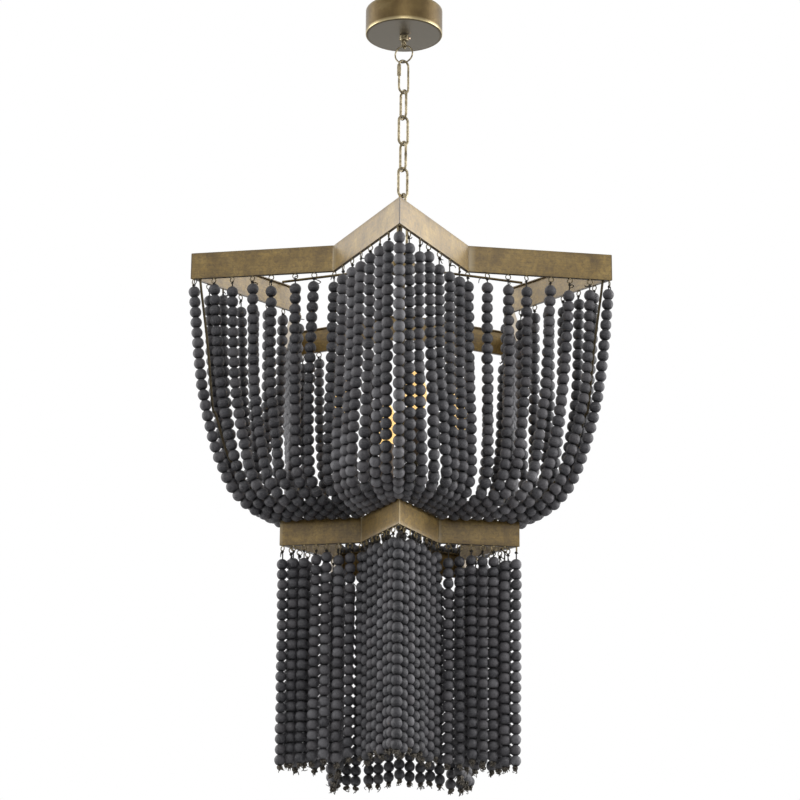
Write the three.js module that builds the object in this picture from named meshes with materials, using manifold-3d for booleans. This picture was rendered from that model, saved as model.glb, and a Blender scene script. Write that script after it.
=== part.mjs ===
// A beaded chandelier. A short chain hangs from a ceiling canopy and carries a five-pointed
// star band of sheet brass. Strings of beads hang from that band, curve inward and end at a
// smaller star band below it, and a second tier of straight strings hangs from the small star.
// Five ribs hold the two bands apart, and a stem inside carries four candle lamps.
// Millimetres, +Z up. The origin is on the axis, in the plane of the ceiling.
import * as THREE from "three";
import { mergeVertices } from "three/addons/utils/BufferGeometryUtils.js";
import Module from "manifold-3d";

const wasm = await Module();
wasm.setup();

// Clearances shared by all pieces
const seatGap = 0.3; // between a piece and what it rests on or hangs from
const threadGap = 0.3; // radial, around a thread
const cutOverrun = 1; // how far a cut runs past the face that it opens

// Canopy and what it covers
const canopyDiameter = 127;
const canopyDepth = 44;
const canopyWall = 1.5;
const canopyEdgeRound = 1.2;
const crossbarLength = 104;
const crossbarWidth = 18;
const crossbarThickness = 2.5;
const crossbarSlotLength = 18;
const crossbarSlotWidth = 5;
const crossbarSlotPitch = 70; // between the middles of the two slots
const nippleDiameter = 9.5;
const nippleBore = 6;
const locknutAcrossFlats = 15;
const locknutThickness = 4;

// Loop under the canopy, with its set screw
const collarDiameter = 15;
const collarHeight = 10;
const collarBoreDepth = 8;
const eyeRadius = 6; // to the middle of the wire
const eyeWire = 4;
const screwDrop = 4.5; // below the top of the collar
const screwThread = 3.5;
const screwKnobDiameter = 5;
const screwKnobLength = 2.6;

// Ring, quick link and chain
const ringRadius = 15.2; // to the middle of the wire
const ringWire = 2.6;
const ringAngle = -20; // degrees from +X, of the plane that the ring lies in
const quickHalfWidth = 9.2; // to the middle of the wire
const quickHeight = 58.4; // between the middles of the two bows
const quickWire = 3.6;
const quickAngle = 35;
const quickNutDiameter = 7.4;
const quickNutLength = 20;
const quickGapLength = 6; // of the open gate under the nut
const quickGapDrop = 4; // from the top of the nut to the gate
const chainLinks = 6;
const chainHalfWidth = 8.45; // to the middle of the wire
const chainHeight = 50.4; // between the middles of the two bows
const chainWire = 4.3;
const evenLinkAngle = 32;
const oddLinkAngle = -58;

// Hub and the rods that join it to the upper star
const hubEyeRadius = 9;
const hubEyeWire = 4.5;
const hubNeckDiameter = 18;
const hubNeckHeight = 11;
const hubFlangeDiameter = 44;
const hubFlangeHeight = 14;
const spokeDiameter = 4;
// Where each spoke ends on the upper star: from one corner towards another, by a share of the side.
// They run to the front tip, the back notch and just beside the notches at the left and right.
const spokeEnds = [
  [0, 1, 0],
  [3, 2, 0.17],
  [5, 6, 0],
  [7, 8, 0.17],
];

// Star bands, an upright strip with a lip turned inward along each edge
const points = 5;
const firstPointAngle = 270; // degrees from +X: one point faces -Y
const upperBandHeight = 43;
const lowerBandHeight = 40;
const bandSheet = 1.6;
const bandLip = 5;
const upperTipRadius = 347;
const upperNotchRadius = 178.6;
const lowerTipRadius = 193.6;
const lowerNotchRadius = 100.6;
const bandSpacing = 420; // from the top of one band to the top of the other
const upperBandDrop = 471.5; // from the ceiling to the top of the upper band

// Ribs between the bands
const ribDiameter = 4;
const ribTopDrop = 2; // below the top of the upper band
const ribSides = 5;
// How far each point of a rib lies inward, and how far down, from its top end to its foot
const ribInwardShares = [0, 0, 0.1, 0.18, 0.22, 0.35, 0.46, 0.62, 0.8, 0.93, 1, 1];
const ribDownShares = [0, 0.09, 0.335, 0.586, 0.62, 0.763, 0.818, 0.889, 0.945, 0.967, 0.985, 1];

// Strings of beads, which hang from a star's lower edge
const spacesPerSide = 7; // between strings along each of the ten sides of a star
const upperBead = 18;
const lowerBead = 17.3;
const cordDiameter = 2;
const lacingDiameter = 1.6; // of the thin cord that ties the heads of neighbouring strings
const lacingDrop = 9; // from the edge of a band to the lacing
const upperNeck = 16; // of bare cord, above the first bead
const upperEndNeck = 16; // of bare cord, between the last bead and the lower star
const lowerNeck = 19;
const lowerBeadedLength = 321;
const lowerTail = 14; // of the cord's knot and frayed end
const beadShoulder = 4; // over which a string widens from cord to bead
// The course of an upper string, from its head to the lower star. Each list says how far along it
// is at each height: at a tip, midway (along and square to the side of the star) and at a notch.
const courseDownShares = [0, 0.2, 0.45, 0.64, 0.77, 0.86, 0.9, 0.935, 0.96, 0.98, 0.99, 1];
const tipCourse = [0, 0.045, 0.12, 0.225, 0.33, 0.43, 0.5, 0.585, 0.68, 0.78, 0.89, 1];
const middleAlongCourse = [0, 0.01, 0.04, 0.13, 0.2, 0.28, 0.36, 0.46, 0.58, 0.71, 0.86, 1];
const middleSquareCourse = [0, -0.01, -0.02, -0.03, -0.03, -0.02, 0.02, 0.09, 0.24, 0.48, 0.75, 1];
const notchCourse = [0, -0.02, -0.05, -0.09, -0.11, -0.11, -0.06, 0.03, 0.2, 0.44, 0.72, 1];
const courseMiddle = 0.43; // where the middle course runs, from 0 at a notch to 1 at a tip
// Where along its length a string bends
const stringBendShares = [0.3, 0.55, 0.7, 0.78, 0.84, 0.9];

// Lamps
const stemDiameter = 10;
const stemBore = 6.4;
const cupDiameter = 44;
const cupHeight = 34;
const cupWall = 2;
const cupDrop = 339; // from the top of the upper band to the rim of the cup
const finialDiameter = 20;
const finialHeight = 22;
const lamps = 4;
const firstLampAngle = 15;
const lampRadius = 92;
const armDiameter = 7;
const armDrop = 12; // from the cup's rim to the middle of an arm
const armSag = 16;
const sleeveDiameter = 24;
const sleeveWall = 1.6;
const sleeveHeight = 76;
const sleeveLift = 10; // from the cup's rim to the foot of a sleeve
const socketBoreDepth = 26;
const socketDepth = 3; // from the top of a sleeve to the top of its socket
const bulbCapDiameter = 13;
const bulbCapLength = 22;
const bulbDiameter = 34;
const bulbHeight = 78;
const bulbWaistShare = 0.36; // height of the widest place
const bulbNeckShare = 0.5; // of its diameter, where the glass meets the cap

// How finely round things are divided
const canopySides = 24;
const turnedSides = 12;
const rodSides = 6;
const linkSides = 6;
const stringSides = 5;
const lacingSides = 3;
const bowSteps = 6;

const up = new THREE.Vector3(0, 0, 1);
const radians = THREE.MathUtils.degToRad;

function direction(degrees) {
  return new THREE.Vector3(Math.cos(radians(degrees)), Math.sin(radians(degrees)), 0);
}

function place(degrees, radius, height) {
  return direction(degrees).multiplyScalar(radius).setZ(height);
}

// Closed meshes

function bare(geometry) {
  const copy = geometry.index ? geometry.toNonIndexed() : geometry.clone();
  copy.deleteAttribute("normal");
  copy.deleteAttribute("uv");
  return mergeVertices(copy);
}

function enclosedVolume(positions, index) {
  const corner = (i) => new THREE.Vector3().fromArray(positions, 3 * index[i]);
  let six = 0;
  for (let i = 0; i < index.length; i += 3) {
    six += corner(i).dot(corner(i + 1).cross(corner(i + 2)));
  }
  return six / 6;
}

function meshOf(positions, index) {
  if (enclosedVolume(positions, index) < 0) index.reverse();
  const geometry = new THREE.BufferGeometry();
  geometry.setAttribute("position", new THREE.Float32BufferAttribute(positions, 3));
  geometry.setIndex(index);
  return geometry;
}

// Skins a row of outlines that all have as many corners. A closed row has no end caps.
function skin(outlines, closed) {
  const corners = outlines[0].length;
  const positions = outlines.flat().flatMap((point) => point.toArray());
  const index = [];
  const spans = closed ? outlines.length : outlines.length - 1;
  for (let i = 0; i < spans; i += 1) {
    const here = i * corners;
    const there = ((i + 1) % outlines.length) * corners;
    for (let j = 0; j < corners; j += 1) {
      const k = (j + 1) % corners;
      index.push(here + j, here + k, there + k, here + j, there + k, there + j);
    }
  }
  if (!closed) {
    const last = (outlines.length - 1) * corners;
    for (let j = 1; j < corners - 1; j += 1) {
      index.push(0, j + 1, j, last, last + j, last + j + 1);
    }
  }
  return meshOf(positions, index);
}

// A rod through points that lie in one upright or slanted plane with the given normal.
// radii is one radius, or one for each point.
function rod(path, radii, planeNormal, sides, closed = false) {
  const count = path.length;
  const outlines = path.map((point, i) => {
    const before = path[closed ? (i + count - 1) % count : Math.max(i - 1, 0)];
    const after = path[closed ? (i + 1) % count : Math.min(i + 1, count - 1)];
    const along = after.clone().sub(before).normalize();
    const across = planeNormal.clone().cross(along).normalize();
    const radius = Array.isArray(radii) ? radii[i] : radii;
    return Array.from({ length: sides }, (_, j) => {
      const turn = (2 * Math.PI * j) / sides;
      return point
        .clone()
        .addScaledVector(planeNormal, radius * Math.cos(turn))
        .addScaledVector(across, radius * Math.sin(turn));
    });
  });
  return skin(outlines, closed);
}

// A turned piece from a profile of [radius, height] pairs, about the vertical axis
function turned(profile, sides) {
  const outline = profile.map(([radius, height]) => new THREE.Vector2(radius, height));
  const geometry = bare(new THREE.LatheGeometry(outline, sides).rotateX(Math.PI / 2));
  return meshOf(Array.from(geometry.attributes.position.array), Array.from(geometry.index.array));
}

function tube(outerRadius, innerRadius, top, bottom, sides) {
  const profile = [
    [innerRadius, top],
    [outerRadius, top],
    [outerRadius, bottom],
    [innerRadius, bottom],
    [innerRadius, top],
  ];
  return turned(profile, sides);
}

function plate(shape, thickness, top) {
  const options = { depth: thickness, bevelEnabled: false, curveSegments: rodSides };
  const geometry = bare(new THREE.ExtrudeGeometry(shape, options));
  return geometry.translate(0, 0, top - thickness);
}

function roundHole(radius, sides) {
  return new THREE.Path(new THREE.Path().absarc(0, 0, radius, 0, 2 * Math.PI, true).getPoints(sides / 2));
}

function solid(geometry) {
  const merged = bare(geometry);
  const vertProperties = Float32Array.from(merged.attributes.position.array);
  const triVerts = Uint32Array.from(merged.index.array);
  return new wasm.Manifold(new wasm.Mesh({ numProp: 3, vertProperties, triVerts }));
}

function geometryOf(body) {
  const { vertProperties, triVerts } = body.getMesh();
  return meshOf(Array.from(vertProperties), Array.from(triVerts));
}

// Closed wire forms in an upright plane at an angle from +X

function wireEye(centreHeight, radius, wire, angle, sides) {
  const path = Array.from({ length: 2 * bowSteps }, (_, i) => {
    const turn = (Math.PI * i) / bowSteps;
    return place(angle, radius * Math.cos(turn), centreHeight + radius * Math.sin(turn));
  });
  return rod(path, wire / 2, direction(angle).cross(up), sides, true);
}

// The bow of a link: half a circle from +halfWidth over the top, or under the bottom, to -halfWidth
function bow(halfWidth, centreHeight, angle, sign) {
  return Array.from({ length: bowSteps + 1 }, (_, i) => {
    const turn = (Math.PI * i) / bowSteps;
    const out = sign * halfWidth * Math.cos(turn);
    return place(angle, out, centreHeight + sign * halfWidth * Math.sin(turn));
  });
}

function wireLink(topHeight, height, halfWidth, wire, angle) {
  const path = [
    ...bow(halfWidth, topHeight - halfWidth, angle, 1),
    ...bow(halfWidth, topHeight - height + halfWidth, angle, -1),
  ];
  return rod(path, wire / 2, direction(angle).cross(up), linkSides, true);
}

// Materials

function metal(color, roughness) {
  return new THREE.MeshStandardMaterial({ color, roughness, metalness: 0.9 });
}

const antiqueBrass = metal("#8c7444", 0.45);
const wornBrass = metal("#a18a5c", 0.5);
const screwMetal = metal("#c8a070", 0.35);
const steel = metal("#9a9a98", 0.4);
const blackenedWood = new THREE.MeshStandardMaterial({ color: "#3f3f42", roughness: 0.7 });
const candleSleeve = new THREE.MeshStandardMaterial({ color: "#6b4f33", roughness: 0.6 });
const lampGlass = new THREE.MeshStandardMaterial({ color: "#fff2d6", roughness: 0.15 });

const chandelier = new THREE.Group();

function add(name, geometry, material, parent = chandelier) {
  const mesh = new THREE.Mesh(geometry, material);
  mesh.name = name;
  parent.add(mesh);
  return mesh;
}

// Canopy, its crossbar, threaded tube and nut

const nippleRadius = nippleDiameter / 2;
const collarTop = -canopyDepth - seatGap;
const collarBottom = collarTop - collarHeight;

function canopyCover() {
  const outer = canopyDiameter / 2;
  const hole = nippleRadius + threadGap;
  const floor = -canopyDepth;
  const profile = [
    [outer - canopyWall, 0],
    [outer, 0],
    [outer, floor + canopyEdgeRound],
    [outer - canopyEdgeRound, floor],
    [hole, floor],
    [hole, floor + canopyWall],
    [outer - canopyWall, floor + canopyWall],
    [outer - canopyWall, 0],
  ];
  return turned(profile, canopySides);
}

function rectangle(length, width, middle, Kind) {
  const left = middle - length / 2;
  const low = -width / 2;
  const outline = [
    new THREE.Vector2(left, low),
    new THREE.Vector2(left + length, low),
    new THREE.Vector2(left + length, low + width),
    new THREE.Vector2(left, low + width),
  ];
  return new Kind(outline);
}

function crossbar() {
  const shape = rectangle(crossbarLength, crossbarWidth, 0, THREE.Shape);
  shape.holes.push(roundHole(nippleRadius + threadGap, turnedSides));
  for (const side of [-1, 1]) {
    const middle = (side * crossbarSlotPitch) / 2;
    shape.holes.push(rectangle(crossbarSlotLength, crossbarSlotWidth, middle, THREE.Path));
  }
  return plate(shape, crossbarThickness, 0);
}

function locknut() {
  const corner = locknutAcrossFlats / Math.sqrt(3);
  const hexagon = Array.from({ length: 6 }, (_, i) => {
    const turn = (Math.PI * i) / 3;
    return new THREE.Vector2(corner * Math.cos(turn), corner * Math.sin(turn));
  });
  const shape = new THREE.Shape(hexagon);
  shape.holes.push(roundHole(nippleRadius + threadGap, turnedSides));
  return plate(shape, locknutThickness, -crossbarThickness - seatGap);
}

const nippleFoot = collarTop - collarBoreDepth + seatGap;

add("canopy_cover", canopyCover(), antiqueBrass);
add("canopy_crossbar", crossbar(), steel);
add("canopy_nipple", tube(nippleRadius, nippleBore / 2, 0, nippleFoot, turnedSides), steel);
add("canopy_locknut", locknut(), steel);

// Loop: a bored collar with a wire eye under it, cross-drilled for the set screw

const eyeAngle = ringAngle + 90;
const eyeCentre = collarBottom - eyeRadius;
const screwHeight = collarTop - screwDrop;

function sideways(geometry) {
  return geometry.rotateY(Math.PI / 2).translate(0, 0, screwHeight);
}

function canopyLoop() {
  const radius = collarDiameter / 2;
  const bore = nippleRadius + threadGap;
  const boreFloor = collarTop - collarBoreDepth;
  const collar = turned(
    [
      [0, boreFloor],
      [bore, boreFloor],
      [bore, collarTop],
      [radius, collarTop],
      [radius, collarBottom],
      [0, collarBottom],
    ],
    turnedSides,
  );
  const eye = wireEye(eyeCentre, eyeRadius, eyeWire, eyeAngle, linkSides);
  const holeRadius = screwThread / 2 + threadGap;
  const holeEnd = radius + cutOverrun;
  const hole = sideways(
    turned(
      [
        [0, holeEnd],
        [holeRadius, holeEnd],
        [holeRadius, 0],
        [0, 0],
      ],
      turnedSides,
    ),
  );
  return geometryOf(solid(collar).add(solid(eye)).subtract(solid(hole)));
}

function setScrew() {
  const tip = nippleRadius + seatGap;
  const shoulder = collarDiameter / 2 + seatGap;
  const end = shoulder + screwKnobLength;
  const knob = screwKnobDiameter / 2;
  const profile = [
    [0, end],
    [knob, end],
    [knob, shoulder],
    [screwThread / 2, shoulder],
    [screwThread / 2, tip],
    [0, tip],
  ];
  return sideways(turned(profile, rodSides));
}

add("canopy_loop", canopyLoop(), wornBrass);
add("loop_set_screw", setScrew(), screwMetal);

// Ring, quick link and chain, each hooked over the wire above it

function hookedOver(wireBelow, upperWire, lowerWire) {
  return wireBelow + (upperWire + lowerWire) / 2 + seatGap;
}

const ringTop = hookedOver(eyeCentre - eyeRadius, eyeWire, ringWire);
const ringCentre = ringTop - ringRadius;
const quickTop = hookedOver(ringCentre - ringRadius, ringWire, quickWire);
const quickBottom = quickTop - quickHeight;
const quickLegTop = quickTop - quickHalfWidth;
const quickGapTop = quickLegTop - quickGapDrop;
const quickGapBottom = quickGapTop - quickGapLength;

// Open at the gate in its left leg
function quickLink() {
  const path = [
    place(quickAngle, -quickHalfWidth, quickGapBottom),
    ...bow(quickHalfWidth, quickBottom + quickHalfWidth, quickAngle, -1),
    ...bow(quickHalfWidth, quickLegTop, quickAngle, 1),
    place(quickAngle, -quickHalfWidth, quickGapTop),
  ];
  return rod(path, quickWire / 2, direction(quickAngle).cross(up), linkSides);
}

function quickNut() {
  const bore = quickWire / 2 + threadGap;
  const foot = quickLegTop - quickNutLength;
  const sleeve = tube(quickNutDiameter / 2, bore, quickLegTop, foot, rodSides);
  const leg = place(quickAngle, -quickHalfWidth, 0);
  return sleeve.translate(leg.x, leg.y, 0);
}

add("canopy_ring", wireEye(ringCentre, ringRadius, ringWire, ringAngle, linkSides), antiqueBrass);
add("quick_link", quickLink(), wornBrass);
add("quick_link_nut", quickNut(), wornBrass);

let wireBelow = quickBottom;
let wireThere = quickWire;
for (let i = 1; i <= chainLinks; i += 1) {
  const top = hookedOver(wireBelow, wireThere, chainWire);
  const angle = i % 2 ? oddLinkAngle : evenLinkAngle;
  const link = wireLink(top, chainHeight, chainHalfWidth, chainWire, angle);
  add(`chain_link_${i}`, link, wornBrass);
  wireBelow = top - chainHeight;
  wireThere = chainWire;
}

// Hub: a wire eye on a turned neck, brazed on a flange that carries the spokes

const hubEyeTop = hookedOver(wireBelow, chainWire, hubEyeWire);
const hubTop = hubEyeTop - 2 * hubEyeRadius;
const flangeTop = hubTop - hubNeckHeight;
const hubFoot = flangeTop - hubFlangeHeight;
const hubEyeAngle = chainLinks % 2 ? evenLinkAngle : oddLinkAngle;

function disc(radius, top, bottom) {
  const profile = [
    [0, top],
    [radius, top],
    [radius, bottom],
    [0, bottom],
  ];
  return turned(profile, turnedSides);
}

function hubEye() {
  const neck = disc(hubNeckDiameter / 2, hubTop, flangeTop + seatGap);
  const centre = hubEyeTop - hubEyeRadius;
  const eye = wireEye(centre, hubEyeRadius, hubEyeWire, hubEyeAngle, linkSides);
  return geometryOf(solid(neck).add(solid(eye)));
}

add("hub_eye", hubEye(), antiqueBrass);

// Star bands. All sides of such a star lie at one distance from the axis, so a smaller copy of
// it about the axis is the same star moved inward by an even width.

const corners = 2 * points;
const cornerStep = 360 / corners;
const upperBandTop = -upperBandDrop;
const lowerBandTop = upperBandTop - bandSpacing;
const upperStar = {
  tip: upperTipRadius,
  notch: upperNotchRadius,
  top: upperBandTop,
  foot: upperBandTop - upperBandHeight,
};
const lowerStar = {
  tip: lowerTipRadius,
  notch: lowerNotchRadius,
  top: lowerBandTop,
  foot: lowerBandTop - lowerBandHeight,
};

// How far the sides of a star lie from the axis
function sideDistance(star) {
  const tip = place(0, star.tip, 0);
  const notch = place(cornerStep, star.notch, 0);
  const side = notch.clone().sub(tip).normalize();
  return Math.abs(tip.clone().cross(side).z);
}

// Corner i of a star, moved inward; even corners are tips and odd ones are notches
function starCorner(star, i, inset, height) {
  const radius = i % 2 ? star.notch : star.tip;
  const shrunk = radius * (1 - inset / sideDistance(star));
  return place(firstPointAngle + i * cornerStep, shrunk, height);
}

function outward(spot) {
  return new THREE.Vector3(spot.x, spot.y, 0).normalize();
}

function starBand(star) {
  const { top, foot } = star;
  const section = [
    [0, top],
    [0, foot],
    [bandLip, foot],
    [bandLip, foot + bandSheet],
    [bandSheet, foot + bandSheet],
    [bandSheet, top - bandSheet],
    [bandLip, top - bandSheet],
    [bandLip, top],
  ];
  const outlines = Array.from({ length: corners }, (_, i) =>
    section.map(([inset, height]) => starCorner(star, i, inset, height)),
  );
  return skin(outlines, true);
}

add("upper_star_band", starBand(upperStar), antiqueBrass);
add("lower_star_band", starBand(lowerStar), antiqueBrass);

// The hub's flange with its spokes, which end on the top lip of the upper star

function spoke([corner, next, share]) {
  const half = spokeDiameter / 2;
  const restHeight = upperBandTop + seatGap + half;
  const to = starCorner(upperStar, corner, bandLip / 2, restHeight);
  to.lerp(starCorner(upperStar, next, bandLip / 2, restHeight), share);
  const way = outward(to);
  const from = way.clone().multiplyScalar(hubFlangeDiameter / 2 - spokeDiameter);
  from.setZ((flangeTop + hubFoot) / 2);
  return rod([from, to], half, way.clone().cross(up), rodSides);
}

function hub() {
  let body = solid(disc(hubFlangeDiameter / 2, flangeTop, hubFoot));
  for (const end of spokeEnds) body = body.add(solid(spoke(end)));
  return geometryOf(body);
}

add("hub", hub(), antiqueBrass);

// Ribs, from inside the tips of the upper star to the top of the tips of the lower star

function rib(i) {
  const angle = firstPointAngle + 2 * i * cornerStep;
  const half = ribDiameter / 2;
  const lipCorner = starCorner(upperStar, 0, bandLip, 0).length();
  const tipTurn = Math.asin(sideDistance(upperStar) / upperTipRadius);
  const topRadius = lipCorner - (half + seatGap) / Math.sin(tipTurn);
  const footRadius = starCorner(lowerStar, 0, bandLip, 0).length() + half;
  const top = upperBandTop - ribTopDrop;
  const foot = lowerBandTop + seatGap;
  const path = ribInwardShares.map((inward, j) => {
    const radius = THREE.MathUtils.lerp(topRadius, footRadius, inward);
    return place(angle, radius, THREE.MathUtils.lerp(top, foot, ribDownShares[j]));
  });
  return rod(path, half, direction(angle).cross(up), ribSides);
}

for (let i = 0; i < points; i += 1) {
  add(`rib_${i + 1}`, rib(i), antiqueBrass);
}

// Strings. Each is as thick as a rod that holds as much wood as its round beads do, and the
// heads of the strings of one group are tied together by a thin lacing.

const strings = corners * spacesPerSide;

// The place of string n on a star: string 0 is at the first tip, and they run round from there
function stringPlace(star, n) {
  const side = Math.floor(n / spacesPerSide);
  const share = (n % spacesPerSide) / spacesPerSide;
  const from = starCorner(star, side, bandSheet, 0);
  const to = starCorner(star, side + 1, bandSheet, 0);
  return from.lerp(to, share);
}

// 1 for a string at a tip, 0 for one at a notch
function tipShare(n) {
  const share = (n % (2 * spacesPerSide)) / spacesPerSide;
  return Math.abs(1 - share);
}

const volumeShare = Math.sqrt(2 / 3);
const cordRadius = cordDiameter / 2;
const upperRadius = (upperBead / 2) * volumeShare;
const lowerRadius = (lowerBead / 2) * volumeShare;

const upperHead = upperStar.foot - seatGap;
const lowerHead = lowerStar.foot - seatGap;

// How far string n has come, along its side and square to it, at point j of its course
function courseShares(n, j) {
  const tip = tipShare(n);
  const middle = [middleAlongCourse[j], middleSquareCourse[j]];
  const towardTip = tip > courseMiddle;
  const end = towardTip ? tipCourse[j] : notchCourse[j];
  const weight = towardTip ? (tip - courseMiddle) / (1 - courseMiddle) : 1 - tip / courseMiddle;
  return middle.map((share) => THREE.MathUtils.lerp(share, end, weight));
}

function upperString(n) {
  const above = stringPlace(upperStar, n).setZ(upperHead);
  const below = stringPlace(lowerStar, n).setZ(lowerBandTop + seatGap + cordRadius);
  const side = Math.floor(n / spacesPerSide);
  const way = starCorner(upperStar, side + 1, 0, 0).sub(starCorner(upperStar, side, 0, 0)).normalize();
  const run = below.clone().sub(above).setZ(0);
  const along = way.clone().multiplyScalar(run.dot(way));
  const square = run.clone().sub(along);
  const points = courseDownShares.map((down, j) => {
    const [alongShare, squareShare] = courseShares(n, j);
    return above
      .clone()
      .addScaledVector(along, alongShare)
      .addScaledVector(square, squareShare)
      .addScaledVector(up, -down * (above.z - below.z));
  });
  const curve = new THREE.CatmullRomCurve3(points);
  const length = curve.getLength();
  const start = upperNeck / length;
  const full = (upperNeck + beadShoulder) / length;
  const end = 1 - upperEndNeck / length;
  const fullEnd = 1 - (upperEndNeck + beadShoulder) / length;
  const shares = [0, start, full, ...stringBendShares, fullEnd, end, 1];
  const bare = [0, start, end, 1];
  const path = shares.map((share) => curve.getPointAt(share));
  const radii = shares.map((share) => (bare.includes(share) ? cordRadius : upperRadius));
  return rod(path, radii, outward(above).cross(up), stringSides);
}

function lowerString(n) {
  const spot = stringPlace(lowerStar, n);
  const beadsTop = lowerHead - lowerNeck;
  const beadsFoot = beadsTop - lowerBeadedLength;
  const levels = [
    [lowerHead, cordRadius],
    [beadsTop, cordRadius],
    [beadsTop - beadShoulder, lowerRadius],
    [beadsFoot, lowerRadius],
    [beadsFoot - lowerTail, cordRadius],
  ];
  const path = levels.map(([height]) => spot.clone().setZ(height));
  const radii = levels.map(([, radius]) => radius);
  return rod(path, radii, outward(spot).cross(up), stringSides);
}

// The strings from first to last, and the lacing that runs along their star from one to the next
function laced(star, first, last, makeString) {
  const numbers = Array.from({ length: last - first + 1 }, (_, j) => (first + j + strings) % strings);
  const bends = numbers.filter((n, j) => j === 0 || j === numbers.length - 1 || n % spacesPerSide === 0);
  const height = star.foot - lacingDrop;
  const path = bends.map((n) => stringPlace(star, n).setZ(height));
  let body = solid(rod(path, lacingDiameter / 2, up, lacingSides));
  for (const n of numbers) body = body.add(solid(makeString(n)));
  return geometryOf(body);
}

const perPoint = 2 * spacesPerSide;

// Seven strings hang from each side of the upper star, the first of them at the side's corner
for (let side = 0; side < corners; side += 1) {
  const first = side * spacesPerSide;
  const group = laced(upperStar, first, first + spacesPerSide - 1, upperString);
  add(`upper_strings_${side + 1}`, group, blackenedWood);
}

// Three strings hang at each notch of the lower star. The others of a side, with the string at
// its tip on every second side, hang along one straight edge and swing together.
for (let i = 0; i < points; i += 1) {
  const tip = i * perPoint;
  const notch = tip + spacesPerSide;
  const after = laced(lowerStar, tip, notch - 2, lowerString);
  const before = laced(lowerStar, tip - spacesPerSide + 2, tip - 1, lowerString);
  const around = laced(lowerStar, notch - 1, notch + 1, lowerString);
  add(`lower_strings_after_${i + 1}`, after, blackenedWood);
  add(`lower_strings_before_${i + 1}`, before, blackenedWood);
  add(`lower_strings_notch_${i + 1}`, around, blackenedWood);
}

// Stem, lamp cup with its four arms, and finial

const cupRim = upperBandTop - cupDrop;
const cupFoot = cupRim - cupHeight;
const stemRadius = stemDiameter / 2;

const sleeveFoot = cupRim + sleeveLift;

function lampArm(angle) {
  const half = armDiameter / 2;
  const start = cupRim - armDrop;
  const from = cupDiameter / 2 - cupWall;
  const span = lampRadius - from;
  const path = [
    place(angle, from, start),
    place(angle, from + span / 4, start - armSag),
    place(angle, from + span / 2, start - armSag),
    place(angle, from + (span * 4) / 5, start),
    place(angle, lampRadius, (start + sleeveFoot) / 2),
    place(angle, lampRadius, sleeveFoot - seatGap),
  ];
  return rod(path, half, direction(angle).cross(up), rodSides);
}

function lampAngle(i) {
  return firstLampAngle + (360 * i) / lamps;
}

function lampCup() {
  const outer = cupDiameter / 2;
  const hole = stemRadius + threadGap;
  const profile = [
    [outer - cupWall, cupRim],
    [outer, cupRim],
    [outer, cupRim - cupHeight / 2],
    [hole + cupWall, cupFoot],
    [hole, cupFoot],
    [hole, cupFoot + cupWall],
    [outer - cupWall, cupRim - cupHeight / 2],
    [outer - cupWall, cupRim],
  ];
  let body = solid(turned(profile, turnedSides));
  for (let i = 0; i < lamps; i += 1) body = body.add(solid(lampArm(lampAngle(i))));
  return geometryOf(body);
}

function finial() {
  const radius = finialDiameter / 2;
  const top = cupFoot - seatGap;
  const profile = [
    [0, top],
    [radius, top],
    [radius, top - finialHeight / 4],
    [radius / 2, top - finialHeight / 2],
    [radius / 2, top - (finialHeight * 3) / 4],
    [0, top - finialHeight],
  ];
  return turned(profile, turnedSides);
}

add("centre_stem", tube(stemRadius, stemBore / 2, hubFoot - seatGap, cupFoot, turnedSides), antiqueBrass);
add("lamp_cup", lampCup(), antiqueBrass);
add("stem_finial", finial(), antiqueBrass);

// Lamps: a candle sleeve on each arm, with a bulb in it

const sleeveTop = sleeveFoot + sleeveHeight;
const socketTop = sleeveTop - socketDepth;
const bulbSeat = socketTop + seatGap;

// Stands on the arm. The socket inside it starts below its rim and is bored for the bulb's cap.
function sleeve() {
  const outer = sleeveDiameter / 2;
  const inner = outer - sleeveWall;
  const bore = bulbCapDiameter / 2 + threadGap;
  const boreFloor = socketTop - socketBoreDepth;
  const profile = [
    [0, sleeveFoot],
    [outer, sleeveFoot],
    [outer, sleeveTop],
    [inner, sleeveTop],
    [inner, socketTop],
    [bore, socketTop],
    [bore, boreFloor],
    [0, boreFloor],
  ];
  return turned(profile, turnedSides);
}

function bulb() {
  const cap = bulbCapDiameter / 2;
  const widest = bulbDiameter / 2;
  const neck = widest * bulbNeckShare;
  const waist = bulbSeat + bulbHeight * bulbWaistShare;
  const tip = bulbSeat + bulbHeight;
  const profile = [
    [0, bulbSeat - bulbCapLength],
    [cap, bulbSeat - bulbCapLength],
    [cap, bulbSeat],
    [neck, bulbSeat],
    [widest, waist],
    [widest, (waist + tip) / 2 - widest / 2],
    [neck, tip - widest / 2],
    [0, tip],
  ];
  return turned(profile, rodSides + 2);
}

for (let i = 0; i < lamps; i += 1) {
  const spot = place(lampAngle(i), lampRadius, 0);
  add(`candle_sleeve_${i + 1}`, sleeve(), candleSleeve).position.copy(spot);
  add(`bulb_${i + 1}`, bulb(), lampGlass).position.copy(spot);
}

export default chandelier;
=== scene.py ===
"""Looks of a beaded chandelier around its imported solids. Metres, +Z up, origin at the ceiling."""

import math
import random

import bpy
import bmesh
import numpy as np
from mathutils import Matrix, Vector


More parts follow.
